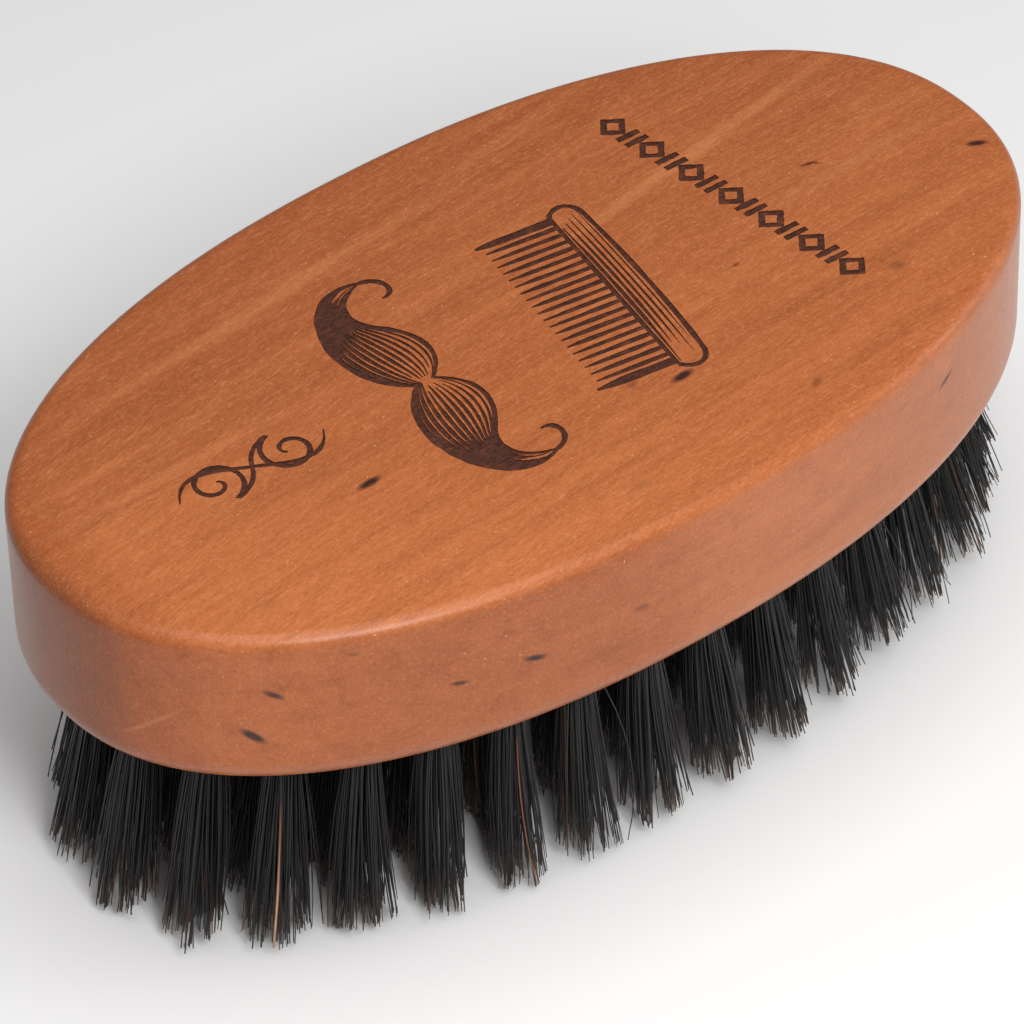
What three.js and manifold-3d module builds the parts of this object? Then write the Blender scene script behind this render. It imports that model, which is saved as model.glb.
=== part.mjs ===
// Oval palm beard brush: a one-piece pearwood block bored with blind holes, and a tuft of boar
// bristle fixed in every hole. Millimetres, +Z up, +X along the block. The brush stands on its
// bristle tips at z = 0, with the block's flat back uppermost.

import * as THREE from 'three';
import { mergeVertices } from 'three/addons/utils/BufferGeometryUtils.js';
import Module from 'manifold-3d';

const wasm = await Module();
wasm.setup();

// Block
const blockLength = 115;
const blockWidth = 63;
const blockThickness = 19.8;
const outlineExponent = 2.19; // 2 is an ellipse; a little more gives fuller shoulders
const backFillet = 1.6;
const bristleSideFillet = 4.2;
const outlineSegments = 96;
const backFilletSteps = 3;
const bristleSideFilletSteps = 5;

// Tufts
const bristleLength = 24.5; // from the block to the tips
const rootRadius = 1.6;
const holeClearance = 0.4; // measured at the corners of the eight-sided sections
const holeDepth = 10;
const tuftSides = 8;
const flareSteps = 3;

// Rows of tufts, from the rim inwards: how far the row lies inside the block's outline at its
// ends and at its sides, how many tufts it has, and where its first one is, as a share of their
// spacing from the +X end.
const rowExponent = 2.05; // the rows are nearer to an ellipse than the outline is
const edgeRow = { insetAtEnds: 8.2, insetAtSides: 6.7, count: 32, start: 0.25, tipRadius: 3.6 };
const secondRow = { insetAtEnds: 16, insetAtSides: 14.5, count: 25, start: 0.5, tipRadius: 3.5 };
const thirdRow = { insetAtEnds: 24.6, insetAtSides: 23.5, count: 18, start: 0.5, tipRadius: 4.7 };
const centreRow = { pitch: 7.8, count: 7, tipRadius: 4.7 };

// The tufts fan out from the middle of the block, each in proportion to its distance from it.
const leanAtEnds = 12; // degrees, at the ends of the block
const leanAtSides = 5; // degrees, at the middle of its sides

const pearwood = { color: 0xb9713a, roughness: 0.5, metalness: 0 };
const darkBristle = { color: 0x241d1b, roughness: 0.55, metalness: 0 };

const bristleFaceZ = bristleLength;
const backZ = bristleFaceZ + blockThickness;
const holeTopZ = bristleFaceZ + holeDepth;
const rootTopZ = holeTopZ - holeClearance;

// A point of an oval, and the oval's outward direction there.
function ovalPoint(angle, halfLength, halfWidth, exponent) {
  const power = 2 / exponent;
  const signedPower = (value, raisedTo) => Math.sign(value) * Math.abs(value) ** raisedTo;
  const point = new THREE.Vector2(
    halfLength * signedPower(Math.cos(angle), power),
    halfWidth * signedPower(Math.sin(angle), power),
  );
  const normal = new THREE.Vector2(
    signedPower(Math.cos(angle), 2 - power) / halfLength,
    signedPower(Math.sin(angle), 2 - power) / halfWidth,
  ).normalize();
  return { point, normal };
}

// Evenly spaced places along an inset oval.
function rowPlaces({ insetAtEnds, insetAtSides, count, start }) {
  const halfLength = blockLength / 2 - insetAtEnds;
  const halfWidth = blockWidth / 2 - insetAtSides;
  const samples = 1440;
  const places = [];
  const lengths = [0];
  for (let i = 0; i <= samples; i++) {
    const angle = (2 * Math.PI * i) / samples;
    places.push(ovalPoint(angle, halfLength, halfWidth, rowExponent).point);
    if (i > 0) {
      lengths.push(lengths[i - 1] + places[i].distanceTo(places[i - 1]));
    }
  }
  const pitch = lengths[samples] / count;
  return Array.from({ length: count }, (_, i) => {
    const wanted = (i + start) * pitch;
    const next = lengths.findIndex((length) => length >= wanted);
    return places[next];
  });
}

// The centre row is straight.
function centreRowPlaces({ pitch, count }) {
  return Array.from({ length: count }, (_, i) => (
    new THREE.Vector2((i - (count - 1) / 2) * pitch, 0)
  ));
}

// Quarter of a circle from angle start to angle end, as lathe profile points.
function arc(centreX, centreZ, radius, start, end, steps) {
  return Array.from({ length: steps + 1 }, (_, i) => {
    const angle = start + ((end - start) * i) / steps;
    return new THREE.Vector2(centreX + radius * Math.cos(angle), centreZ + radius * Math.sin(angle));
  });
}

// A lathe about +Z with only its corners kept, so that the surface is closed and shared.
function zLathe(profile, segments) {
  const geometry = new THREE.LatheGeometry(profile, segments);
  geometry.rotateX(Math.PI / 2);
  return sharedSurface(geometry);
}

function sharedSurface(geometry) {
  geometry.deleteAttribute('normal');
  geometry.deleteAttribute('uv');
  const merged = mergeVertices(geometry, 1e-4);
  const kept = [];
  const corners = merged.index.array;
  for (let i = 0; i < corners.length; i += 3) {
    const [a, b, c] = [corners[i], corners[i + 1], corners[i + 2]];
    if (a !== b && b !== c && c !== a) {
      kept.push(a, b, c);
    }
  }
  merged.setIndex(kept);
  return merged;
}

function toSolid(geometry) {
  return new wasm.Manifold(new wasm.Mesh({
    numProp: 3,
    vertProperties: Float32Array.from(geometry.attributes.position.array),
    triVerts: Uint32Array.from(geometry.index.array),
  }));
}

function toGeometry(solid) {
  const mesh = solid.getMesh();
  const geometry = new THREE.BufferGeometry();
  geometry.setAttribute('position', new THREE.BufferAttribute(mesh.vertProperties, 3));
  geometry.setIndex(new THREE.BufferAttribute(mesh.triVerts, 1));
  return geometry;
}

function namedMesh(name, geometry, finish) {
  geometry.computeVertexNormals();
  const mesh = new THREE.Mesh(geometry, new THREE.MeshStandardMaterial(finish));
  mesh.name = name;
  return mesh;
}

// The block without holes: a round disc whose rim radius is then laid along the oval outline.
function ovalDisc() {
  const rim = blockWidth / 2;
  const profile = [
    new THREE.Vector2(0, bristleFaceZ),
    ...arc(rim - bristleSideFillet, bristleFaceZ + bristleSideFillet, bristleSideFillet,
      -Math.PI / 2, 0, bristleSideFilletSteps),
    ...arc(rim - backFillet, backZ - backFillet, backFillet, 0, Math.PI / 2, backFilletSteps),
    new THREE.Vector2(0, backZ),
  ];
  const disc = zLathe(profile, outlineSegments);
  const position = disc.attributes.position;
  for (let i = 0; i < position.count; i++) {
    const [x, y] = [position.getX(i), position.getY(i)];
    const radius = Math.hypot(x, y);
    if (radius > 1) {
      const angle = Math.atan2(y, x);
      const { point, normal } = ovalPoint(angle, blockLength / 2, rim, outlineExponent);
      point.addScaledVector(normal, radius - rim);
      position.setXY(i, point.x, point.y);
    }
  }
  return disc;
}

// Leans a shape that was built upright about its place on the bristle face, keeping it level.
function leanAt(geometry, place) {
  const slopeAlong = Math.tan(THREE.MathUtils.degToRad(leanAtEnds)) / (blockLength / 2);
  const slopeAcross = Math.tan(THREE.MathUtils.degToRad(leanAtSides)) / (blockWidth / 2);
  const shear = new THREE.Matrix4().makeShear(
    0, 0, 0, 0, -slopeAlong * place.x, -slopeAcross * place.y,
  );
  geometry.translate(0, 0, -bristleFaceZ);
  geometry.applyMatrix4(shear);
  geometry.translate(place.x, place.y, bristleFaceZ);
  return geometry;
}

function tuftHole(place) {
  const radius = rootRadius + holeClearance;
  const throughFace = bristleFaceZ - 1;
  const profile = [
    new THREE.Vector2(0, throughFace),
    new THREE.Vector2(radius, throughFace),
    new THREE.Vector2(radius, holeTopZ),
    new THREE.Vector2(0, holeTopZ),
  ];
  return leanAt(zLathe(profile, tuftSides), place);
}

// A tuft: straight in its hole, then flaring to its tips, which end level.
function tuftShape(place, row) {
  const flare = Array.from({ length: flareSteps + 1 }, (_, i) => {
    const share = i / flareSteps; // 0 at the tips, 1 at the block
    const spread = (row.tipRadius - rootRadius) * (1 - share) ** 1.3;
    return new THREE.Vector2(rootRadius + spread, bristleFaceZ * share);
  });
  const profile = [
    new THREE.Vector2(0, 0),
    ...flare,
    new THREE.Vector2(rootRadius, rootTopZ),
    new THREE.Vector2(0, rootTopZ),
  ];
  return leanAt(zLathe(profile, tuftSides), place);
}

const edgePlaces = rowPlaces(edgeRow);
const secondPlaces = rowPlaces(secondRow);
const thirdPlaces = rowPlaces(thirdRow);
const centrePlaces = centreRowPlaces(centreRow);

function woodBlock() {
  const holes = [
    ...edgePlaces.map(tuftHole),
    ...secondPlaces.map(tuftHole),
    ...thirdPlaces.map(tuftHole),
    ...centrePlaces.map(tuftHole),
  ];
  const bored = holes.reduce((block, hole) => block.subtract(toSolid(hole)), toSolid(ovalDisc()));
  return namedMesh('wood_block', toGeometry(bored), pearwood);
}

function separateTufts(label, places, row) {
  return places.map((place, i) => {
    const number = String(i + 1).padStart(2, '0');
    return namedMesh(`${label}_${number}`, tuftShape(place, row), darkBristle);
  });
}

// The tufts of the two inner rows spread until they meet near the tips, and are one solid.
function innerTufts() {
  const tufts = [
    ...thirdPlaces.map((place) => tuftShape(place, thirdRow)),
    ...centrePlaces.map((place) => tuftShape(place, centreRow)),
  ];
  const joined = tufts.map(toSolid).reduce((field, tuft) => field.add(tuft));
  return namedMesh('inner_tufts', toGeometry(joined), darkBristle);
}

const brush = new THREE.Group();
brush.add(woodBlock());
brush.add(...separateTufts('edge_tuft', edgePlaces, edgeRow));
brush.add(...separateTufts('second_row_tuft', secondPlaces, secondRow));
brush.add(innerTufts());

export default brush;
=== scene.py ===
"""Looks of the oval palm beard brush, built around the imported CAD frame. Metres, +Z up."""

import math
import random

import bpy
import numpy as np
from mathutils import Matrix, Vector
from mathutils.geometry import delaunay_2d_cdt


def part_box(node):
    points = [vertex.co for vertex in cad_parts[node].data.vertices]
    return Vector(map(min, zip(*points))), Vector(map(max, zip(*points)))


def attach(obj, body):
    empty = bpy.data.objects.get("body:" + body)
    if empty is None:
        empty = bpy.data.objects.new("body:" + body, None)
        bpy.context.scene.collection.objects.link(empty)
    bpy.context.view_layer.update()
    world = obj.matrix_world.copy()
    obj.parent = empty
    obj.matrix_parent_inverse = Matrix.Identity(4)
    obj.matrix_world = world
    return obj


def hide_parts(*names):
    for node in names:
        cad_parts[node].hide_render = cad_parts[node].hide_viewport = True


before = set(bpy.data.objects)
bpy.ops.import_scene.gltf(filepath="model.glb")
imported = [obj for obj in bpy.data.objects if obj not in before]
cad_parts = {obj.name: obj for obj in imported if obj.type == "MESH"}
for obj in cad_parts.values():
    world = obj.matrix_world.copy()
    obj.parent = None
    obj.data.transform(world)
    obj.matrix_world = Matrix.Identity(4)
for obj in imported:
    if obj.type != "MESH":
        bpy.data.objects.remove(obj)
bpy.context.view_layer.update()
MM = 0.001
SEED = 20

# ---------------------------------------------------------------- sizes taken from the frame
BLOCK_LOW, BLOCK_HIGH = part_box("wood_block")
HALF_LENGTH = (BLOCK_HIGH.x - BLOCK_LOW.x) / 2
HALF_WIDTH = (BLOCK_HIGH.y - BLOCK_LOW.y) / 2
FACE_Z = BLOCK_LOW.z  # the side that the bristles come out of
BACK_Z = BLOCK_HIGH.z  # the flat back
OUTLINE_EXPONENT = 2.19
OUTLINE_STEPS = 288
BACK_FILLET = 1.6 * MM
FACE_FILLET = 4.2 * MM
BACK_FILLET_STEPS, WALL_STEPS, FACE_FILLET_STEPS = 8, 6, 12
HOLE_RADIUS = 1.9 * MM
HOLE_END = 0.4 * MM  # from the root of a tuft's solid to the end of its hole
HOLE_CONE = 0.5 * MM
HOLE_SIDES = 28
ENGRAVING_DEPTH = 0.14 * MM
# Corners nearer to each other than this, in millimetres, are one when a flat face is cut.
ENGRAVING_MERGE, HOLES_MERGE = 0.002, 0.0005
CUT_INSIDE = 1  # what delaunay_2d_cdt gives back: the triangles inside its faces


# ---------------------------------------------------------------- small helpers
def new_object(name, mesh):
    piece = bpy.data.objects.new(name, mesh)
    bpy.context.scene.collection.objects.link(piece)
    return piece


def mesh_from(name, points, faces, smooth=True):
    mesh = bpy.data.meshes.new(name)
    mesh.from_pydata([tuple(p) for p in points], [], [tuple(f) for f in faces])
    mesh.polygons.foreach_set("use_smooth", [smooth] * len(mesh.polygons))
    mesh.update()
    return mesh


def signed_power(value, exponent):
    return math.copysign(abs(value) ** exponent, value)


def oval_point(angle, inset=0.0):
    """A point of the block's outline, moved in along the outline's normal."""
    power = 2 / OUTLINE_EXPONENT
    c, s = math.cos(angle), math.sin(angle)
    point = Vector((HALF_LENGTH * signed_power(c, power), HALF_WIDTH * signed_power(s, power)))
    normal = Vector((signed_power(c, 2 - power) / HALF_LENGTH,
                     signed_power(s, 2 - power) / HALF_WIDTH)).normalized()
    return point - normal * inset


def oval_ring(count, inset):
    return [oval_point(2 * math.pi * i / count, inset) for i in range(count)]


# ---------------------------------------------------------------- node materials
class Nodes:
    """Short names for building a material's node tree."""

    def __init__(self, name):
        self.material = bpy.data.materials.new(name)
        self.material.use_nodes = True
        self.tree = self.material.node_tree
        self.shader = self.tree.nodes["Principled BSDF"]

    def add(self, kind, **settings):
        node = self.tree.nodes.new("ShaderNode" + kind)
        for key, value in settings.items():
            setattr(node, key, value)
        return node

    def link(self, source, target):
        self.tree.links.new(source, target)

    def put(self, socket, value):
        """A socket takes either another node's output or a plain value."""
        if isinstance(value, bpy.types.NodeSocket):
            self.link(value, socket)
        else:
            socket.default_value = value

    def math(self, operation, a, b=0.0, c=0.0):
        node = self.add("Math", operation=operation)
        for socket, value in zip(node.inputs, (a, b, c)):
            self.put(socket, value)
        return node.outputs[0]

    def vector(self, operation, *values):
        """A vector operation: its values are outputs of other nodes or plain ones."""
        node = self.add("VectorMath", operation=operation)
        for position, value in enumerate(values):
            wanted = "Scale" if operation == "SCALE" and position == 1 else position
            self.put(node.inputs[wanted], value)
        name = "Value" if operation in ("DOT_PRODUCT", "LENGTH") else "Vector"
        return node.outputs[name]

    def part(self, vector, axis):
        node = self.add("SeparateXYZ")
        self.link(vector, node.inputs[0])
        return node.outputs[axis]

    def combined(self, x, y, z):
        node = self.add("CombineXYZ")
        for socket, value in zip(node.inputs, (x, y, z)):
            self.put(socket, value)
        return node.outputs[0]

    def ramp(self, value, low, high):
        """0 below low, 1 above high, smooth between."""
        node = self.add("MapRange", interpolation_type="SMOOTHSTEP")
        self.put(node.inputs["Value"], value)
        node.inputs["From Min"].default_value = low
        node.inputs["From Max"].default_value = high
        return node.outputs["Result"]

    def mix(self, factor, a, b):
        node = self.add("Mix", data_type="RGBA")
        self.put(node.inputs["Factor"], factor)
        self.put(node.inputs[6], a)
        self.put(node.inputs[7], b)
        return node.outputs[2]

    def noise(self, vector, scale, detail=2.0, roughness=0.5):
        node = self.add("TexNoise")
        self.link(vector, node.inputs["Vector"])
        node.inputs["Scale"].default_value = scale
        node.inputs["Detail"].default_value = detail
        node.inputs["Roughness"].default_value = roughness
        return node.outputs["Fac"]

    def place(self, vector, scale=(1, 1, 1), turn=(0, 0, 0), shift=(0, 0, 0)):
        node = self.add("Mapping")
        self.link(vector, node.inputs["Vector"])
        node.inputs["Location"].default_value = shift
        node.inputs["Rotation"].default_value = turn
        node.inputs["Scale"].default_value = scale
        return node.outputs["Vector"]

    def here(self):
        return self.add("TexCoord").outputs["Object"]

    def bump(self, height, strength, distance):
        node = self.add("Bump")
        node.inputs["Strength"].default_value = strength
        node.inputs["Distance"].default_value = distance
        self.link(height, node.inputs["Height"])
        self.link(node.outputs["Normal"], self.shader.inputs["Normal"])


def rgb(red, green, blue):
    """The linear values that a shader takes, for a colour given as on a screen, 0 to 255."""
    def linear(value):
        share = value / 255
        return share / 12.92 if share <= 0.04045 else ((share + 0.055) / 1.055) ** 2.4
    return (linear(red), linear(green), linear(blue), 1.0)


# Marks of the pearwood: pith flecks, lighter bands on the back, and a faint line on the side. Each
# starts with its place: on the back, along and across as shares of the block's half sizes; on the
# front side, along as a share of the half length and down as a share of the thickness. Then come
# its length and width in millimetres, its angle in degrees and its strength.
BACK_FLECKS = [
    (0.927, -0.213, 2.1, 0.8, -28, 1.0),
    (0.661, 0.054, 1.8, 0.4, -15, 0.8),
    (0.671, 0.047, 1.3, 0.35, -50, 0.7),
    (0.132, -0.489, 2.5, 0.95, 4, 1.0),
    (0.052, -0.422, 1.5, 0.8, 5, 0.4),
    (0.602, -0.511, 2.2, 1.4, -15, 0.3),
    (0.388, -0.184, 1.0, 0.5, 10, 0.5),
    (0.297, -0.778, 1.8, 0.9, 25, 0.4),
    (-0.443, -0.263, 2.6, 0.9, 3, 1.0),
    (-0.75, -0.5, 3.0, 1.4, 5, 0.2),
    (-0.1, -0.8, 3.4, 1.4, 8, 0.2),
]
SIDE_FLECKS = [
    (0.545, 0.29, 2.3, 0.65, 22, 0.75),
    (-0.18, 0.45, 1.9, 0.7, -8, 0.45),
    (-0.387, 0.48, 2.4, 0.75, -14, 0.9),
    (-0.522, 0.48, 1.9, 0.6, -9, 0.75),
    (-0.69, 0.13, 1.5, 0.5, -15, 0.35),
    (-0.805, 0.34, 2.2, 0.7, -29, 0.8),
    (-0.835, 0.61, 2.7, 0.95, -36, 1.0),
]
LIGHT_BANDS = [
    (-0.3, 0.62, 52.0, 1.7, 5.5, 0.8),
    (0.54, 0.34, 40.0, 1.6, 8.5, 1.0),
    (-0.69, 0.16, 30.0, 1.4, 0, 0.6),
    (0.74, -0.03, 24.0, 1.8, 2, 0.5),
    (0.3, 0.78, 30.0, 1.8, 9, 0.4),
]
SIDE_LINES = [
    (-0.95, 0.6, 17.0, 0.5, 38, 1.0),
]
MARK_EDGE = (1.6, 0.25)  # in half sizes of a mark: where it has faded out, and where it is full
FIBRE_SLOPE = 0.14  # of the fine fibres of the wood, at the middle of the block
FIBRE_BEND = -2.4  # change of that slope along the block, per metre


def back_fleck(along, across, angle):
    """Where a fleck of the back is, and its direction."""
    turn = math.radians(angle)
    centre = Vector((along * HALF_LENGTH, across * HALF_WIDTH, BACK_Z))
    return centre, Vector((math.cos(turn), math.sin(turn), 0))


def side_fleck(along, down, angle):
    """Where a fleck of the front side is, and its direction: up the side as x grows if positive."""
    across = (1 - abs(along) ** OUTLINE_EXPONENT) ** (1 / OUTLINE_EXPONENT)
    centre = Vector((along * HALF_LENGTH, -across * HALF_WIDTH, BACK_Z - down * (BACK_Z - FACE_Z)))
    slope = (abs(along) / across) ** (OUTLINE_EXPONENT - 1) * HALF_WIDTH / HALF_LENGTH
    level = Vector((1, math.copysign(slope, along), 0)).normalized()
    turn = math.radians(angle)
    return centre, level * math.cos(turn) + Vector((0, 0, math.sin(turn)))


def fleck_mask(n, where, back, side):
    """A mask of marks on the back and on the front side: a mark's strength inside it, 0 outside."""
    flecks = ([(*back_fleck(f[0], f[1], f[4]), f[2], f[3], f[5]) for f in back]
              + [(*side_fleck(f[0], f[1], f[4]), f[2], f[3], f[5]) for f in side])
    total = 0.0
    for centre, direction, length, width, strength in flecks:
        away = n.vector("SUBTRACT", where, centre)
        along = n.vector("DOT_PRODUCT", away, direction)
        per_width, per_length = 2 / (width * MM), 2 / (length * MM)
        lengthened = n.vector("SCALE", direction * (per_length - per_width), along)
        scaled = n.vector("MULTIPLY_ADD", away, (per_width,) * 3, lengthened)
        inside = n.ramp(n.vector("LENGTH", scaled), *MARK_EDGE)
        inside = n.math("MULTIPLY", inside, strength)
        total = inside if isinstance(total, float) else n.math("MAXIMUM", total, inside)
    return total


def fibre_space(n, where):
    """Places moved across the block, so that the fine fibres, which run at a slope to the bands and
    more so towards the -X end, lie along x."""
    x = n.part(where, "X")
    slope = n.math("MULTIPLY_ADD", x, FIBRE_BEND / 2, FIBRE_SLOPE)
    return n.vector("SUBTRACT", where, n.combined(0.0, n.math("MULTIPLY", x, slope), 0.0))


def swayed(n, where):
    """Places moved a little across the block, so that bands wander."""
    sway = n.add("TexNoise")
    n.link(n.place(where, scale=(25, 60, 60)), sway.inputs["Vector"])
    sway.inputs["Scale"].default_value = 1.0
    sway.inputs["Detail"].default_value = 2.0
    return n.vector("MULTIPLY_ADD", sway.outputs["Color"], (0.0, 1.8 * MM, 1.8 * MM), where)


def tinted(n, colour, mask, low, high, share, tint):
    """The colour with a tint laid over it where the mask runs from low to high. The share of the
    tint is a number or another mask."""
    return n.mix(n.math("MULTIPLY", n.ramp(mask, low, high), share), colour, tint)


def wood_figure(n, colour, where, grain, fibre):
    """Bands and streaks along the grain, the figure of the fibres, and a few lighter bands."""
    bands = n.noise(n.place(grain, scale=(14, 420, 420)), 1.0, 3.0, 0.6)
    streaks = n.noise(n.place(grain, scale=(45, 1500, 1500)), 1.0, 2.0, 0.5)
    figure = n.noise(n.place(fibre, scale=(130, 800, 800)), 1.0, 3.0, 0.6)
    colour = tinted(n, colour, bands, 0.46, 0.76, 0.4, rgb(148, 78, 42))
    colour = tinted(n, colour, bands, 0.48, 0.22, 0.4, rgb(204, 124, 74))
    colour = tinted(n, colour, streaks, 0.5, 0.78, 0.3, rgb(148, 78, 42))
    colour = tinted(n, colour, streaks, 0.5, 0.24, 0.2, rgb(206, 126, 76))
    light_bands = fleck_mask(n, where, LIGHT_BANDS, [])
    colour = n.mix(n.math("MULTIPLY", light_bands, 0.5), colour, rgb(212, 135, 85))
    colour = tinted(n, colour, figure, 0.5, 0.76, 0.22, rgb(142, 74, 42))
    return tinted(n, colour, figure, 0.5, 0.26, 0.2, rgb(208, 128, 78))


def side_mottling_and_painted_shade(n, colour, where, x, on_side):
    """The side's mottling, with painted shade on the whole side, left of its middle and at the -X
    end, and painted light towards +X.
    """
    patches = n.noise(n.place(where, scale=(330, 330, 330)), 1.0, 4.0, 0.7)
    patchy = n.math("MULTIPLY", on_side, 0.36)
    colour = tinted(n, colour, patches, 0.5, 0.72, patchy, rgb(124, 60, 30))
    colour = tinted(n, colour, patches, 0.5, 0.3, patchy, rgb(204, 128, 88))
    # Painted shade: the whole side darker and deeper in colour than the back.
    colour = n.mix(n.math("MULTIPLY", on_side, 0.34), colour, rgb(150, 70, 27))
    # Painted shade: a darker stretch of the side, full from x -34 to -12 mm, fading out at -50 and
    # 4 mm.
    middle_left = n.math("MULTIPLY", n.ramp(x, -50 * MM, -34 * MM), n.ramp(x, 4 * MM, -12 * MM))
    painted_shade_stretch = n.math("MULTIPLY", on_side, n.math("MULTIPLY", middle_left, 0.22))
    colour = n.mix(painted_shade_stretch, colour, rgb(116, 60, 32))
    # Painted light: the side lighter from x -12 mm on, fully so past 6 mm towards +X.
    painted_light_stretch = n.math("MULTIPLY", on_side, n.math("MULTIPLY", n.ramp(x, -12 * MM, 6 * MM), 0.18))
    colour = n.mix(painted_light_stretch, colour, rgb(216, 148, 104))
    # Painted shade: the -X end darker and deeper in colour, darkest at its very end.
    colour = tinted(n, colour, x, -49 * MM, -55 * MM, 0.3, rgb(138, 58, 20))
    return tinted(n, colour, x, -54.5 * MM, -57.3 * MM, 0.45, rgb(100, 56, 34))


def fine_detail(n, colour, where, fibres, speckle, on_back):
    """Fibres, which show most on the back, speckle, and small bright painted glints that stand in
    for specular sparkle.
    """
    painted_glints = n.noise(n.place(where, scale=(3600, 3600, 3600), shift=(3, 5, 7)), 1.0, 0.0)
    fibred = n.math("MULTIPLY_ADD", on_back, 0.22, 0.08)
    colour = tinted(n, colour, fibres, 0.5, 0.78, fibred, rgb(230, 154, 102))
    colour = tinted(n, colour, fibres, 0.5, 0.2, fibred, rgb(134, 70, 38))
    colour = tinted(n, colour, speckle, 0.5, 0.75, 0.28, rgb(224, 152, 104))
    colour = tinted(n, colour, speckle, 0.5, 0.25, 0.26, rgb(130, 68, 40))
    # Painted glints: tiny bright dots where the noise peaks.
    return tinted(n, colour, painted_glints, 0.84, 0.9, 0.45, rgb(240, 204, 172))


def wood_marks(n, colour, where, fibres):
    """The faint line on the side, and the dark pith flecks with their soft edges."""
    lines = fleck_mask(n, where, [], SIDE_LINES)
    colour = n.mix(n.math("MULTIPLY", lines, 0.3), colour, rgb(214, 140, 96))
    flecks = fleck_mask(n, where, BACK_FLECKS, SIDE_FLECKS)
    broken = n.math("MULTIPLY_ADD", n.ramp(fibres, 0.2, 0.5), 0.4, 0.6)
    streaked = n.math("MULTIPLY", flecks, broken)
    colour = tinted(n, colour, flecks, 0.0, 0.35, 0.36, rgb(112, 62, 42))
    return tinted(n, colour, streaked, 0.12, 0.95, 0.95, rgb(50, 30, 28))


def pearwood():
    n = Nodes("pearwood")
    where = n.here()
    grain = n.place(swayed(n, where), turn=(0, math.radians(2), math.radians(-1)))
    fibre = fibre_space(n, where)
    x, y, z = (n.part(where, axis) for axis in "XYZ")

    broad = n.noise(n.place(grain, scale=(9, 85, 85)), 1.0, 2.0)
    fibres = n.noise(n.place(fibre, scale=(850, 5200, 5200)), 1.0, 2.0, 0.6)
    speckle = n.noise(n.place(where, scale=(3600, 3600, 3600)), 1.0, 2.0, 0.7)
    on_back = n.ramp(z, BACK_Z - 1.3 * MM, BACK_Z - 0.2 * MM)
    on_side = n.math("SUBTRACT", 1.0, on_back)
    on_fillet = n.math("MULTIPLY", n.ramp(z, BACK_Z - 1.9 * MM, BACK_Z - 1.3 * MM),
                       n.ramp(z, BACK_Z - 0.01 * MM, BACK_Z - 0.1 * MM))
    near_left = n.math("MULTIPLY_ADD", x, 0.6, y)

    colour = n.mix(n.ramp(broad, 0.3, 0.7), rgb(184, 104, 58), rgb(173, 95, 52))
    # Painted shading: darker towards the far side (+y) and lighter towards the front -X corner, a
    # painted light falloff from the front.
    colour = tinted(n, colour, y, -5 * MM, 32 * MM, 0.5, rgb(150, 79, 44))
    colour = tinted(n, colour, near_left, -8 * MM, -46 * MM, 0.55, rgb(204, 120, 70))
    colour = wood_figure(n, colour, where, grain, fibre)
    colour = side_mottling_and_painted_shade(n, colour, where, x, on_side)
    colour = fine_detail(n, colour, where, fibres, speckle, on_back)
    colour = wood_marks(n, colour, where, fibres)
    n.link(colour, n.shader.inputs["Base Color"])

    gloss = n.math("MULTIPLY_ADD", fibres, 0.16, 0.22)
    gloss = n.math("MULTIPLY_ADD", on_fillet, 0.06, gloss)
    n.link(gloss, n.shader.inputs["Roughness"])
    n.shader.inputs["Specular IOR Level"].default_value = 0.31
    n.bump(n.math("MULTIPLY_ADD", speckle, 0.5, fibres), 0.16, 0.04 * MM)
    return n.material


def burnt_wood():
    n = Nodes("burnt_wood")
    where = n.here()
    char = n.noise(n.place(where, scale=(1700, 4200, 4200)), 1.0, 3.0, 0.75)
    patches = n.noise(n.place(where, scale=(900, 1300, 1300)), 1.0, 2.0)
    colour = n.mix(n.ramp(char, 0.3, 0.7), rgb(50, 28, 21), rgb(92, 50, 35))
    colour = tinted(n, colour, patches, 0.5, 0.8, 0.55, rgb(122, 68, 44))
    n.link(colour, n.shader.inputs["Base Color"])
    n.shader.inputs["Roughness"].default_value = 0.75
    n.shader.inputs["Specular IOR Level"].default_value = 0.25
    n.bump(char, 0.5, 0.06 * MM)
    return n.material


def bristle_hair():
    """Each bristle's own tint is in the mesh, as the colour attribute that is read here."""
    n = Nodes("boar_bristle")
    tint = n.add("Attribute", attribute_name="tint")
    where = n.here()
    rings = n.noise(n.place(where, scale=(2500, 2500, 900)), 1.0, 2.0)
    dark = n.add("Mix", data_type="RGBA", blend_type="MULTIPLY")
    n.put(dark.inputs["Factor"], n.math("MULTIPLY", n.ramp(rings, 0.45, 0.8), 0.35))
    n.link(tint.outputs["Color"], dark.inputs[6])
    dark.inputs[7].default_value = (0.35, 0.33, 0.32, 1)
    n.link(dark.outputs[2], n.shader.inputs["Base Color"])
    n.shader.inputs["Roughness"].default_value = 0.5
    n.shader.inputs["Specular IOR Level"].default_value = 0.4
    return n.material


def drawn_wire():
    n = Nodes("anchor_wire")
    where = n.here()
    lines = n.noise(n.place(where, scale=(9000, 9000, 1500)), 1.0, 2.0)
    n.link(n.mix(lines, rgb(150, 150, 146), rgb(190, 190, 186)), n.shader.inputs["Base Color"])
    n.shader.inputs["Metallic"].default_value = 1.0
    n.link(n.math("MULTIPLY_ADD", lines, 0.25, 0.3), n.shader.inputs["Roughness"])
    n.bump(lines, 0.2, 0.02 * MM)
    return n.material


# ---------------------------------------------------------------- tuft places, read from the frame
LEVEL_WITHIN = 0.02 * MM
TUFT_REACH = 4.0 * MM  # corners nearer to each other than this are of one tuft


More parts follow.
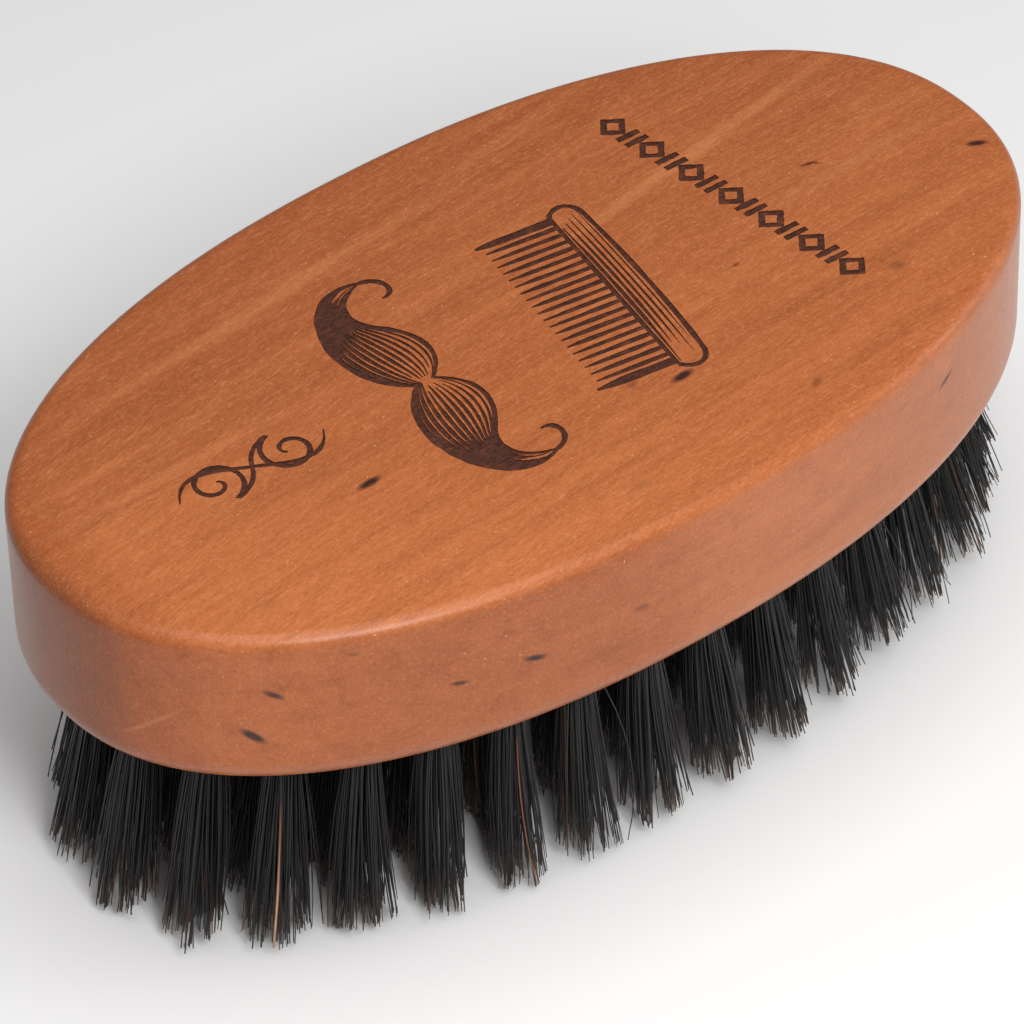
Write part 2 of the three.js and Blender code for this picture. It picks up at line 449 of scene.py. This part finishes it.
def level_groups(points, height, reach):
    """The centres of the groups of points that lie at one height, each group within reach."""
    level = [p for p in points if abs(p.z - height) < LEVEL_WITHIN]
    groups = []
    for p in level:
        near = [g for g in groups if (g[0] - p).length < reach]
        if near:
            near[0].append(p)
        else:
            groups.append([p])
    centres = []
    for g in groups:
        xs = [p.x for p in g]
        ys = [p.y for p in g]
        centres.append(Vector(((min(xs) + max(xs)) / 2, (min(ys) + max(ys)) / 2, height)))
    return centres


def tuft_axes(node):
    """(root centre, centre at the block's face) for each tuft that the CAD node holds."""
    points = [v.co.copy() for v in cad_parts[node].data.vertices]
    roots = level_groups(points, max(p.z for p in points), TUFT_REACH)
    mouths = level_groups(points, FACE_Z, TUFT_REACH)
    pairs = [(root, min(mouths, key=lambda m: (m - root).xy.length)) for root in roots]
    return sorted(pairs, key=lambda pair: (round(pair[0].x, 5), round(pair[0].y, 5)))


TUFT_NODES = sorted(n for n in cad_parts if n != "wood_block")
TUFTS = {node: tuft_axes(node) for node in TUFT_NODES}


# ---------------------------------------------------------------- camera, light and floor
CAMERA_AZIMUTH, CAMERA_ELEVATION, CAMERA_ROLL = -37.1, 42.3, -1.7  # degrees
CAMERA_DISTANCE = 0.643
CAMERA_TARGET = Vector((-17.5 * MM, -20.3 * MM, BACK_Z))
SENSOR_WIDTH, LENS = 36.0, 236.4  # millimetres
WORLD_STRENGTH = 0.12
FLOOR_HALF = 3.0
FLOOR_GREY = 0.9


def look_from(azimuth, elevation):
    a, e = math.radians(azimuth), math.radians(elevation)
    return Vector((math.sin(a) * math.cos(e), -math.cos(a) * math.cos(e), math.sin(e)))


def aim(thing, place, target, roll=0.0):
    turn = (target - place).to_track_quat("-Z", "Y").to_matrix().to_4x4()
    thing.matrix_world = Matrix.Translation(place) @ turn @ Matrix.Rotation(roll, 4, "Z")


def make_camera():
    data = bpy.data.cameras.new("camera")
    data.sensor_width = SENSOR_WIDTH
    data.lens = LENS
    camera = new_object("camera", data)
    place = CAMERA_TARGET + look_from(CAMERA_AZIMUTH, CAMERA_ELEVATION) * CAMERA_DISTANCE
    aim(camera, place, CAMERA_TARGET, math.radians(CAMERA_ROLL))
    data.clip_start = 0.01
    bpy.context.scene.camera = camera


def soft_light(name, direction, distance, size, power, target):
    data = bpy.data.lights.new(name, "AREA")
    data.shape = "RECTANGLE"
    data.size, data.size_y = size
    data.energy = power
    lamp = new_object(name, data)
    aim(lamp, target + direction.normalized() * distance, target)


def make_light():
    centre = Vector((0, 0, (FACE_Z + BACK_Z) / 2))
    soft_light("overhead_softbox", Vector((0, -0.1, 1)), 1.2, (1.0, 1.0), 7.6, centre)
    soft_light("front_softbox", Vector((-0.24, -0.74, 0.8)), 0.45, (0.15, 0.15), 1.3, centre)
    soft_light("right_softbox", Vector((0.95, -0.45, 0.35)), 0.6, (0.3, 0.3), 0.72, centre)
    world = bpy.data.worlds.new("studio")
    world.use_nodes = True
    background = world.node_tree.nodes["Background"]
    background.inputs["Color"].default_value = (1, 1, 1, 1)
    background.inputs["Strength"].default_value = WORLD_STRENGTH
    bpy.context.scene.world = world
    bpy.context.scene.view_settings.view_transform = "Standard"


def make_floor():
    half = FLOOR_HALF
    corners = [(-half, -half, 0), (half, -half, 0), (half, half, 0), (-half, half, 0)]
    floor = new_object("floor", mesh_from("floor", corners, [(0, 1, 2, 3)], smooth=False))
    n = Nodes("pale_floor")
    n.shader.inputs["Base Color"].default_value = (FLOOR_GREY, FLOOR_GREY, FLOOR_GREY, 1)
    n.shader.inputs["Roughness"].default_value = 0.8
    floor.data.materials.append(n.material)


# ---------------------------------------------------------------- engraved ornament
# The ornament is drawn in millimetres on the back: u runs across the block, v along it. Every
# stroke is a line of points with a width at each, and becomes a strip of four-sided faces.
def to_back(u, v):
    return Vector((v, -u))


def bezier(a, b, c, d, steps=14):
    points = []
    for i in range(steps + 1):
        t = i / steps
        s = 1 - t
        points.append(Vector(a) * s ** 3 + Vector(b) * (3 * s * s * t)
                      + Vector(c) * (3 * s * t * t) + Vector(d) * t ** 3)
    return points


def stroke(points, width, start=0.25, end=0.25, chance=None):
    """Half widths along a line: full in the middle, the given shares at its ends."""
    last = len(points) - 1
    halves = []
    for i in range(last + 1):
        t = i / last
        share = min(1.0, start + (1 - start) * t * 4, end + (1 - end) * (1 - t) * 4)
        ragged = 1.0 if chance is None else chance.uniform(0.82, 1.12)
        halves.append(width / 2 * share * ragged)
    return points, halves


def strip_faces(points, halves):
    """Corner points and faces of the strip of a stroke."""
    left, right = [], []
    for i, p in enumerate(points):
        before = points[max(i - 1, 0)]
        after = points[min(i + 1, len(points) - 1)]
        along = (after - before).normalized()
        side = Vector((-along.y, along.x)) * halves[i]
        left.append(p + side)
        right.append(p - side)
    corners = left + right
    count = len(points)
    quads = [(i, count + i, count + i + 1, i + 1) for i in range(count - 1)]
    return corners, [turned_left(corners, quad) for quad in quads]


def turned_left(corners, quad):
    """The same corners in order round their middle, so that a strip's tight bend has no twist."""
    middle = sum((corners[i] for i in quad), Vector((0, 0))) / len(quad)
    return tuple(sorted(quad, key=lambda i: math.atan2(*(corners[i] - middle).yx)))


def between(upper, lower, share):
    return [a.lerp(b, share) for a, b in zip(upper, lower)]


def moustache(chance):
    """A handlebar moustache: a dark outline, filled with lines that follow the hair."""
    strokes = []
    for side in (-1, 1):
        upper = (bezier((0, 0.6), (2.5, 4.0), (6.0, 3.6), (9.0, 0.9), 12)
                 + bezier((9.0, 0.9), (11.4, -1.2), (14.2, -0.4), (15.2, 3.4), 12)[1:])
        lower = (bezier((0, -1.2), (2.0, -4.2), (6.5, -5.4), (10.4, -4.2), 12)
                 + bezier((10.4, -4.2), (14.6, -2.9), (16.6, 0.2), (15.2, 3.4), 12)[1:])
        curl = bezier((15.2, 3.4), (14.8, 5.8), (11.8, 5.9), (12.0, 3.9), 12)
        upper, lower, curl = ([Vector((side * p.x, p.y)) for p in line]
                              for line in (upper, lower, curl))
        strokes.append(stroke(upper, 0.55, 0.6, 0.5, chance))
        strokes.append(stroke(lower, 0.8, 0.6, 0.5, chance))
        strokes.append(stroke(curl, 0.6, 0.9, 0.4, chance))
        rows = 11
        for row in range(1, rows):
            share = row / rows
            line = between(upper, lower, share)
            first = chance.randint(0, 2)
            last = len(line) - chance.randint(1, 5)
            width = 0.26 + 0.34 * share
            strokes.append(stroke(line[first:last], width, 0.3, 0.2, chance))
    return strokes


def comb(chance):
    """A barber's comb: a rounded spine with shading lines, and a row of teeth."""
    strokes = []
    half, top, low = 13.0, 6.4, 3.0
    outline = (bezier((-half, low), (-half - 1.6, top - 2), (-half - 1, top), (-half + 1.5, top), 8)
               + bezier((-half + 1.5, top), (-4, top + 0.5), (4, top + 0.5),
                        (half - 1.5, top), 12)[1:]
               + bezier((half - 1.5, top), (half + 1, top), (half + 1.6, top - 2),
                        (half, low), 8)[1:])
    strokes.append(stroke(outline, 0.6, 1, 1, chance))
    base = bezier((-half, low), (-5, low), (5, low), (half, low), 14)
    strokes.append(stroke(base, 0.55, 1, 1, chance))
    for row in range(5):
        height = top - 0.5 - 0.62 * row
        reach = half - 0.3 - chance.uniform(0, 3.5) * (row != 4)
        line = bezier((-half + 0.2 + 0.5 * row, height), (-4, height + 0.3), (4, height + 0.3),
                      (reach, height), 14)
        strokes.append(stroke(line, 0.2 + 0.06 * row, 0.3, 0.2, chance))
    teeth = 22
    for i in range(teeth):
        x = -half + 0.7 + (2 * half - 1.4) * i / (teeth - 1)
        length, width = (8.2, 0.62) if 0 < i < teeth - 1 else (8.8, 1.1)
        tooth = [Vector((x, low - length * k / 6)) for k in range(7)]
        strokes.append(stroke(tooth, width, 1, 0.35, chance))
    return strokes


def lozenge_row(chance):
    """A band of open lozenges with pairs of slanting bars between them."""
    strokes = []
    count = 13
    for i in range(count):
        x = (i - (count - 1) / 2) * 2.72
        if i % 2 == 0:
            tips = [Vector(p) for p in ((x - 1.3, 0), (x, 1.35), (x + 1.3, 0), (x, -1.35))]
            for a, b in zip(tips, tips[1:] + tips[:1]):
                over = (b - a).normalized() * 0.3
                line = [(a - over).lerp(b + over, k / 5) for k in range(6)]
                strokes.append(stroke(line, 0.72, 0.9, 0.9, chance))
        else:
            for shift in (-0.62, 0.62):
                line = [Vector((x + shift + 0.08 * k, 0.45 * k)) for k in range(-3, 4)]
                strokes.append(stroke(line, 0.78, 0.9, 0.9, chance))
    return strokes


def scroll(chance):
    """A small double scroll, as an engraver closes a page with."""
    strokes = []
    for side in (-1, 1):
        spiral = []
        for k in range(31):
            t = k / 30
            angle = math.pi * (0.5 + 2.6 * t)
            radius = 2.6 * (1 - t) ** 0.8 + 0.35
            spiral.append(Vector((side * (4.0 + radius * math.cos(angle)),
                                  side * (radius * math.sin(angle) - 1.0))))
        start = bezier((0, 0), (side * 1.2, side * 1.6), (side * 2.4, side * 1.9),
                       tuple(spiral[0]), 8)
        strokes.append(stroke(start + spiral[1:], 0.56, 0.8, 0.5, chance))
        tail = bezier((0, 0), (side * 2, side * -1.5), (side * 5, side * -5.4),
                      (side * 8, side * -1.6), 12)
        strokes.append(stroke(tail, 0.5, 0.8, 0.3, chance))
    return strokes


def turned(strokes, shift, angle=0.0, size=1.0):
    turn = Matrix.Rotation(math.radians(angle), 2)
    return [([turn @ (p * size) + Vector(shift) for p in line], [h * size for h in halves])
            for line, halves in strokes]


def ornament():
    """Every stroke of the back's ornament as corner points and faces, in millimetres."""
    chance = random.Random(SEED)
    strokes = (turned(moustache(chance), (0.0, -12.0), size=1.05)
               + turned(comb(chance), (0.5, 7.5), angle=-9)
               + turned(lozenge_row(chance), (-2.8, 28.8), angle=8)
               + turned(scroll(chance), (-0.8, -32.8), angle=101, size=1.05))
    corners, faces = [], []
    for line, halves in strokes:
        points, quads = strip_faces([to_back(p.x, p.y) for p in line], halves)
        start = len(corners)
        corners += points
        faces += [tuple(start + i for i in quad) for quad in quads]
    return corners, faces


# ---------------------------------------------------------------- wood block
class Shell:
    """Points and faces of a surface that is put together from rings and flat stretches."""

    def __init__(self):
        self.points = []
        self.faces = []
        self.kinds = []

    def ring(self, points2, z):
        start = len(self.points)
        self.points += [Vector((p.x, p.y, z)) for p in points2]
        return list(range(start, len(self.points)))

    def face(self, corners, kind=0):
        self.faces.append(tuple(corners))
        self.kinds.append(kind)

    def wall(self, lower, upper, kind=0):
        """Four-sided faces between two rings that run the same way, facing out of them."""
        count = len(lower)
        for i in range(count):
            j = (i + 1) % count
            self.face((lower[i], lower[j], upper[j], upper[i]), kind)


def side_profile(thickness):
    """(inset, height above the face) from the face's flat to the back's flat."""
    steps = []
    for k in range(FACE_FILLET_STEPS + 1):
        a = math.pi / 2 * k / FACE_FILLET_STEPS
        steps.append((FACE_FILLET * (1 - math.sin(a)), FACE_FILLET * (1 - math.cos(a))))
    straight = thickness - FACE_FILLET - BACK_FILLET
    steps += [(0.0, FACE_FILLET + straight * k / WALL_STEPS) for k in range(1, WALL_STEPS)]
    for k in range(BACK_FILLET_STEPS + 1):
        a = math.pi / 2 * k / BACK_FILLET_STEPS
        steps.append((BACK_FILLET * (1 - math.cos(a)), thickness - BACK_FILLET * (1 - math.sin(a))))
    return steps


def oriented(points, triangle, up):
    """The triangle's corners in the order that makes it face up, or else down."""
    a, b, c = triangle
    area = (points[b] - points[a]).cross(points[c] - points[a])
    return triangle if (area >= 0) == up else (a, c, b)


def flat_with_engraving(shell, rim, z):
    """The back: flat up to the rim, with the ornament's strokes sunk into it."""
    border = [shell.points[i].xy / MM for i in rim]
    corners, quads = ornament()
    start = len(border)
    loops = [tuple(range(start))] + [tuple(start + i for i in quad) for quad in quads]
    cut = delaunay_2d_cdt(border + corners, [], loops, CUT_INSIDE, ENGRAVING_MERGE)
    points, _, triangles, old_points, _, old_faces = cut
    rim_of = {}
    for i, sources in enumerate(old_points):
        for source in sources:
            if source < start:
                rim_of[i] = rim[source]
    high, low = dict(rim_of), {}

    def corner(i, sunk):
        table = low if sunk else high
        if i not in table:
            table[i] = len(shell.points)
            depth = ENGRAVING_DEPTH if sunk else 0.0
            shell.points.append(Vector((points[i].x * MM, points[i].y * MM, z - depth)))
        return table[i]

    edges = {}
    for triangle, sources in zip(triangles, old_faces):
        triangle = oriented(points, triangle, up=True)
        sunk = any(source > 0 for source in sources)
        shell.face([corner(i, sunk) for i in triangle], 1 if sunk else 0)
        for i, j in zip(triangle, triangle[1:] + triangle[:1]):
            edges[(i, j)] = sunk
    for (i, j), sunk in edges.items():
        if sunk and edges.get((j, i)) is False:
            shell.face((low[i], high[i], high[j], low[j]), 1)


def bore(shell, root, mouth, lower, circle):
    """One blind hole: its wall, up from its corners on the face, and the cone at its end."""
    end_z = root.z + HOLE_END
    lean = (root.xy - mouth.xy) / (root.z - mouth.z)
    end = mouth.xy + lean * (end_z - mouth.z)
    upper = shell.ring([end + c for c in circle], end_z)
    shell.wall(upper, lower)
    tip = len(shell.points)
    shell.points.append(Vector((end.x, end.y, end_z + HOLE_CONE)))
    for k in range(HOLE_SIDES):
        shell.face((upper[(k + 1) % HOLE_SIDES], upper[k], tip))


def bored_face(shell, rim, z):
    """The bristle side: flat, with a blind hole for each tuft."""
    holes = [pair for pairs in TUFTS.values() for pair in pairs]
    turns = [2 * math.pi * k / HOLE_SIDES for k in range(HOLE_SIDES)]
    circle = [Vector((math.cos(t), math.sin(t))) * HOLE_RADIUS for t in turns]
    loops = [rim] + [shell.ring([mouth.xy + c for c in circle], z) for _, mouth in holes]
    corners = [i for loop in loops for i in loop]
    number = {corner: k for k, corner in enumerate(corners)}
    numbered = [tuple(number[i] for i in loop) for loop in loops]
    flat = [shell.points[i].xy / MM for i in corners]
    cut = delaunay_2d_cdt(flat, [], numbered, CUT_INSIDE, HOLES_MERGE)
    points, _, triangles, old_points, _, old_faces = cut
    for triangle, sources in zip(triangles, old_faces):
        if not any(source > 0 for source in sources):
            triangle = oriented(points, triangle, up=False)
            shell.face([corners[old_points[i][0]] for i in triangle])
    for (root, mouth), lower in zip(holes, loops[1:]):
        bore(shell, root, mouth, lower, circle)


def wood_block():
    shell = Shell()
    rings = [shell.ring(oval_ring(OUTLINE_STEPS, inset), FACE_Z + height)
             for inset, height in side_profile(BACK_Z - FACE_Z)]
    for lower, upper in zip(rings, rings[1:]):
        shell.wall(lower, upper)
    flat_with_engraving(shell, rings[-1], BACK_Z)
    bored_face(shell, rings[0], FACE_Z)
    mesh = mesh_from("pearwood_block", shell.points, shell.faces)
    mesh.polygons.foreach_set("material_index", shell.kinds)
    mesh.materials.append(pearwood())
    mesh.materials.append(burnt_wood())
    mesh.set_sharp_from_angle(angle=math.radians(35))
    block = new_object("pearwood_block", mesh)
    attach(block, "root")
    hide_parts("wood_block")


# ---------------------------------------------------------------- bristle tufts
FOLDS = 84  # folded bristles in a tuft, so twice as many ends
FOLD_PITCH = 0.225 * MM
BUNDLE_RADIUS = 1.68 * MM
THINNEST, THICKEST = 0.075 * MM, 0.12 * MM  # radius of a bristle
CLUMPS = 11  # groups of tips that hold together in one tuft
SPREAD = 2.15  # how much wider a tuft is at its tips than at the block
LEG_STEPS = 9
FOLD_STEPS = 4
TUBE_SIDES = 4
# The trim isn't quite level: how much shorter than the longest ones the bristles are, in
# millimetres, at shares of the way from the -X end to the +X end.
TRIM_PLACES = (0.0, 0.3, 0.5, 0.7, 0.86, 1.0)
TRIM_SHORTER = (0.3, 0.0, 1.5, 3.1, 1.7, 1.3)
SPLAY = 1.3 * MM  # how far the tips of the edge row stand out at the block's ends, past their lean
SET = 0.8 * MM  # how far use has pushed those tips towards the +X end
WANDERERS = 0.15  # share of the tips that lean to some other clump than the nearest
STRAYS, STRAY_SPREAD = 0.035, 1.3 * MM  # share of the tips that stand out, and how far
STRAY_BOW = 3.0  # how much more a stray is bowed than the others
BROKEN, BROKEN_BY = 0.08, (1 * MM, 6 * MM)  # share of the bristles that end short, and by how much
TRIM_END, TRIM_REACH = 0.15 * MM, 9 * MM  # the tips' lowest height, and how far above it they end
ANCHOR_THICKNESS = 0.3 * MM
ANCHOR_HEIGHT = 1.7 * MM
ANCHOR_BEVEL = 0.06 * MM
ANCHOR_BITE = 0.15 * MM  # how far each end is driven into the wood beside the hole

BLACK = np.array(rgb(35, 34, 34)[:3])
BROWN = np.array(rgb(88, 60, 46)[:3])
GINGER = np.array(rgb(150, 92, 62)[:3])
FAIR = np.array(rgb(206, 164, 130)[:3])
PALE = np.array(rgb(150, 118, 96)[:3])
BROWNED, SPLIT, GINGERED = 0.4, 0.07, 0.004  # shares of brown, split and ginger bristles
FAIR_BRISTLES = {"edge_tuft_19": 1, "edge_tuft_04": 1}
FAIR_SIDE = np.array([-0.85, -0.53])  # the side of its tuft that a fair bristle is on
FAIR_THICKNESS = 1.7  # compared with the others


def trimmed_by(x):
    """How much shorter than the longest ones the bristles at x are."""
    share = (x + HALF_LENGTH) / (2 * HALF_LENGTH)
    return float(np.interp(share, TRIM_PLACES, TRIM_SHORTER)) * MM


def splayed(place):
    """How far, and which way, the tips of an edge tuft at this place are from where it leans."""
    outward = Vector((place.x / HALF_LENGTH ** 2, place.y / HALF_WIDTH ** 2)).normalized()
    return np.array(outward) * SPLAY * (place.x / HALF_LENGTH) ** 2 + np.array([SET, 0.0])


class Tuft:
    """One bundle of bristles: where it is, which way its anchor lies, and how its tips clump."""

    def __init__(self, node, root, mouth, number):
        self.rng = np.random.default_rng(SEED + number)
        self.root, self.mouth = root, mouth
        self.lean = np.array((root - mouth).xy) / (root.z - mouth.z)
        facing = math.atan2(mouth.y, mouth.x) + math.pi / 2
        self.splay = splayed(mouth) if node.startswith("edge_tuft") else np.zeros(2)
        self.across = np.array([math.cos(facing), math.sin(facing)])
        self.along = np.array([-self.across[1], self.across[0]])
        rng = self.rng
        self.spread = rng.normal(SPREAD, 0.1)
        radius = BUNDLE_RADIUS * np.sqrt(rng.uniform(0, 1, CLUMPS))
        angle = rng.uniform(0, 2 * np.pi, CLUMPS)
        self.clumps = np.stack([radius * np.cos(angle), radius * np.sin(angle)], 1)
        self.clump_tips = self.clumps * self.spread * 1.05 + rng.normal(0, 0.3 * MM, (CLUMPS, 2))
        self.clump_pull = rng.uniform(0.2, 0.7, CLUMPS)
        self.clump_short = np.abs(rng.normal(0, 0.65 * MM, CLUMPS))
        self.short = trimmed_by(mouth.x) + abs(rng.normal(0, 0.25 * MM))

    def level_points(self, flat, z):
        """Points from their places relative to the tuft's leaning axis, at the heights z."""
        flat = flat + np.array(self.mouth.xy) + (z - FACE_Z)[:, None] * self.lean
        return np.concatenate([flat, z[:, None]], 1)


def half_disc_places(rng):
    """Where the folded bristles pass the anchor: (along its width, away from its face)."""
    places = []
    rows = int(BUNDLE_RADIUS / FOLD_PITCH)
    for row in range(rows + 1):
        away = ANCHOR_THICKNESS / 2 + FOLD_PITCH * (0.55 + row * 0.9)
        reach = math.sqrt(max(BUNDLE_RADIUS ** 2 - away ** 2, 0))
        count = int(2 * reach / FOLD_PITCH)
        for k in range(count):
            places.append(((k - (count - 1) / 2) * FOLD_PITCH, away))
    places = np.array(places)
    order = rng.permutation(len(places))[:FOLDS]
    return places[np.sort(order)]


def leg_points(tuft, offset):
    """Points of bristle legs from their tips up to the block's face. offset, (count, 2), is where
    they leave the face, from the middle of the tuft."""
    rng = tuft.rng
    count = len(offset)
    nearest = np.linalg.norm(offset[:, None] - tuft.clumps[None], axis=2).argmin(1)
    wanders = rng.random(count) < WANDERERS
    clump = np.where(wanders, rng.integers(0, CLUMPS, count), nearest)
    spread = tuft.spread * rng.normal(1.0, 0.1, count)[:, None]
    free_tip = offset * spread + rng.normal(0, 0.22 * MM, (count, 2))
    stray = (rng.random(count) < STRAYS)[:, None]
    free_tip += stray * rng.normal(0, STRAY_SPREAD, (count, 2))
    pull = np.where(stray | wanders[:, None], 0.15, tuft.clump_pull[clump][:, None])
    drawn = (tuft.clump_tips[clump] - free_tip) * pull

    short = tuft.short + tuft.clump_short[clump] + np.abs(rng.normal(0, 0.3 * MM, count))
    short += rng.exponential(0.25 * MM, count)
    short += (rng.random(count) < BROKEN) * rng.uniform(*BROKEN_BY, count)
    short += np.linalg.norm(offset, axis=1) / BUNDLE_RADIUS * 0.4 * MM
    tip_z = TRIM_END + np.clip(short, 0, TRIM_REACH)
    bow = rng.normal(0, 0.22 * MM, (count, 2)) * np.where(stray, STRAY_BOW, 1.0)
    rows = []
    for s in np.linspace(1, 0, LEG_STEPS):
        z = FACE_Z + (tip_z - FACE_Z) * s
        flat = offset + (free_tip - offset) * s ** 1.15 + drawn * s ** 2.2 + bow * (4 * s * (1 - s))
        flat = flat + tuft.splay * s ** 1.6
        rows.append(tuft.level_points(flat, z))
    return np.stack(rows, 1)


def fold_points(tuft, local):
    """Points of the fold inside the hole: up past the anchor, over it and down again."""
    away = local[:, 1]
    top = tuft.root.z - BUNDLE_RADIUS
    heights = [np.full(len(away), FACE_Z + 3 * MM), np.full(len(away), top)]
    places = [away, away]
    for k in range(1, FOLD_STEPS):
        a = math.pi * k / FOLD_STEPS
        heights.append(top + away * math.sin(a))
        places.append(away * math.cos(a))
    heights += [heights[1], heights[0]]
    places += [-away, -away]
    rows = [tuft.level_points(local[:, :1] * tuft.across + d[:, None] * tuft.along, z)
            for z, d in zip(heights, places)]
    return np.stack(rows, 1)


def tubes(paths, radii, across):
    """Closed tubes along paths (count, steps, 3), radii (count, steps)."""
    count, steps, _ = paths.shape
    tangent = np.gradient(paths, axis=1)
    tangent /= np.linalg.norm(tangent, axis=2, keepdims=True)
    side = np.cross(tangent, np.array([across[0], across[1], 0.0]))
    side /= np.linalg.norm(side, axis=2, keepdims=True)
    other = np.cross(tangent, side)
    turns = 2 * np.pi * (np.arange(TUBE_SIDES) + 0.5) / TUBE_SIDES
    cosines, sines = np.cos(turns)[:, None], np.sin(turns)[:, None]
    circle = side[:, :, None] * cosines + other[:, :, None] * sines
    points = paths[:, :, None] + circle * radii[:, :, None, None]
    index = np.arange(count * steps * TUBE_SIDES).reshape(count, steps, TUBE_SIDES)
    a = index[:, :-1]
    b = index[:, 1:]
    quads = np.stack([a, np.roll(a, -1, 2), np.roll(b, -1, 2), b], -1).reshape(-1, 4)
    ends = np.concatenate([index[:, 0, ::-1], index[:, -1]])
    return points.reshape(-1, 3), np.concatenate([quads, ends])


def bristle_tints(rng, count, steps, fair, fair_end):
    """A colour for each point of each bristle: black, some brown at their tips, some pale where the
    tip is split, and a few ginger. The bristles that fair numbers are fair, each towards the one of
    its two ends that fair_end gives as -1 or 1."""
    shade = rng.uniform(0.55, 1.45, count)[:, None, None]
    colour = np.ones((count, steps, 1)) * BLACK * shade
    along = np.linspace(-1, 1, steps)[None, :, None]
    tip = np.abs(along)
    browned = (rng.random(count) < BROWNED) * rng.uniform(0.3, 1.0, count)
    browned = browned[:, None, None]
    near_tip = np.clip((tip - 0.88) / 0.12, 0, 1) * browned
    colour = colour * (1 - near_tip) + BROWN * near_tip
    split = (rng.random(count) < SPLIT)[:, None, None] * np.clip((tip - 0.95) / 0.05, 0, 1)
    colour = colour * (1 - split) + PALE * split
    gingered = rng.random(count)[:, None, None] < (0.0 if len(fair) else GINGERED)
    colour = np.where(gingered, GINGER * (0.35 + 0.65 * tip), colour)
    fair_tip = along * fair_end[fair][:, None, None]
    ginger_part = np.clip((fair_tip - 0.5) / 0.12, 0, 1)
    fair_part = np.clip((fair_tip - 0.62) / 0.3, 0, 1)
    faded = BLACK * (1 - ginger_part) + GINGER * ginger_part
    colour[fair] = faded * (1 - fair_part) + FAIR * fair_part
    return colour


def tuft_mesh(name, tuft, fair_count):
    rng = tuft.rng
    local = half_disc_places(rng)
    first = local[:, :1] * tuft.across + local[:, 1:] * tuft.along
    second = local[:, :1] * tuft.across - local[:, 1:] * tuft.along
    paths = np.concatenate(
        [leg_points(tuft, first), fold_points(tuft, local), leg_points(tuft, second)[:, ::-1]], 1
    )
    steps = paths.shape[1]
    thick = rng.uniform(THINNEST, THICKEST, len(paths))
    first_side, second_side = first @ FAIR_SIDE, second @ FAIR_SIDE
    fair = np.argsort(-np.maximum(first_side, second_side))[:fair_count]
    fair_end = np.where(first_side > second_side, -1, 1)
    thick[fair] *= FAIR_THICKNESS
    taper = 1 - 0.4 * np.clip((np.abs(np.linspace(-1, 1, steps)) - 0.45) / 0.55, 0, 1) ** 1.6
    points, faces = tubes(paths, thick[:, None] * taper[None], tuft.across)
    mesh = bpy.data.meshes.new(name)
    mesh.from_pydata(points.tolist(), [], faces.tolist())
    mesh.polygons.foreach_set("use_smooth", [True] * len(mesh.polygons))
    tint = mesh.color_attributes.new("tint", "FLOAT_COLOR", "POINT")
    colour = bristle_tints(rng, len(paths), steps, fair, fair_end)
    colour = np.repeat(colour, TUBE_SIDES, 1)
    colour = np.concatenate([colour, np.ones(colour.shape[:2] + (1,))], 2).reshape(-1)
    tint.data.foreach_set("color", colour.astype(np.float32))
    mesh.update()
    return mesh


def anchor_box(tuft):
    """Corner points of one anchor: a flat strip of wire on edge across the hole's bottom."""
    top = tuft.root.z - BUNDLE_RADIUS
    half = Vector((HOLE_RADIUS + ANCHOR_BITE, ANCHOR_THICKNESS / 2, ANCHOR_HEIGHT / 2))
    bevel = ANCHOR_BEVEL
    section = [(half.y, half.z - bevel), (half.y - bevel, half.z), (bevel - half.y, half.z),
               (-half.y, half.z - bevel), (-half.y, bevel - half.z), (bevel - half.y, -half.z),
               (half.y - bevel, -half.z), (half.y, bevel - half.z)]
    z_middle = top - half.z
    middle = np.array(tuft.mouth.xy) + (z_middle - FACE_Z) * tuft.lean
    points = []
    for end in (-1, 1):
        for away, height in section:
            flat = middle + tuft.across * (end * half.x) + tuft.along * away
            points.append((flat[0], flat[1], z_middle + height))
    return points


def make_anchors(tufts):
    """The flat-wire anchors, one in each hole, as one piece of many small strips."""
    points, faces = [], []
    for tuft in tufts:
        start = len(points)
        strip = anchor_box(tuft)
        points += strip
        sides = len(strip) // 2
        for i in range(sides):
            j = (i + 1) % sides
            faces.append((start + i, start + j, start + sides + j, start + sides + i))
        faces.append(tuple(start + i for i in reversed(range(sides))))
        faces.append(tuple(start + sides + i for i in range(sides)))
    mesh = mesh_from("tuft_anchors", points, faces, smooth=False)
    mesh.materials.append(drawn_wire())
    anchors = new_object("tuft_anchors", mesh)
    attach(anchors, "root")


def make_tufts():
    material = bristle_hair()
    tufts = []
    for node in TUFT_NODES:
        for k, (root, mouth) in enumerate(TUFTS[node]):
            several = len(TUFTS[node]) > 1
            name = f"{node}_{k + 1:02d}_bristles" if several else f"{node}_bristles"
            tuft = Tuft(node, root, mouth, len(tufts))
            mesh = tuft_mesh(name, tuft, FAIR_BRISTLES.get(node, 0))
            mesh.materials.append(material)
            piece = new_object(name, mesh)
            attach(piece, "root")
            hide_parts(node)
            tufts.append(tuft)
    make_anchors(tufts)


# ---------------------------------------------------------------- finish
make_camera()
make_light()
make_floor()
wood_block()
make_tufts()
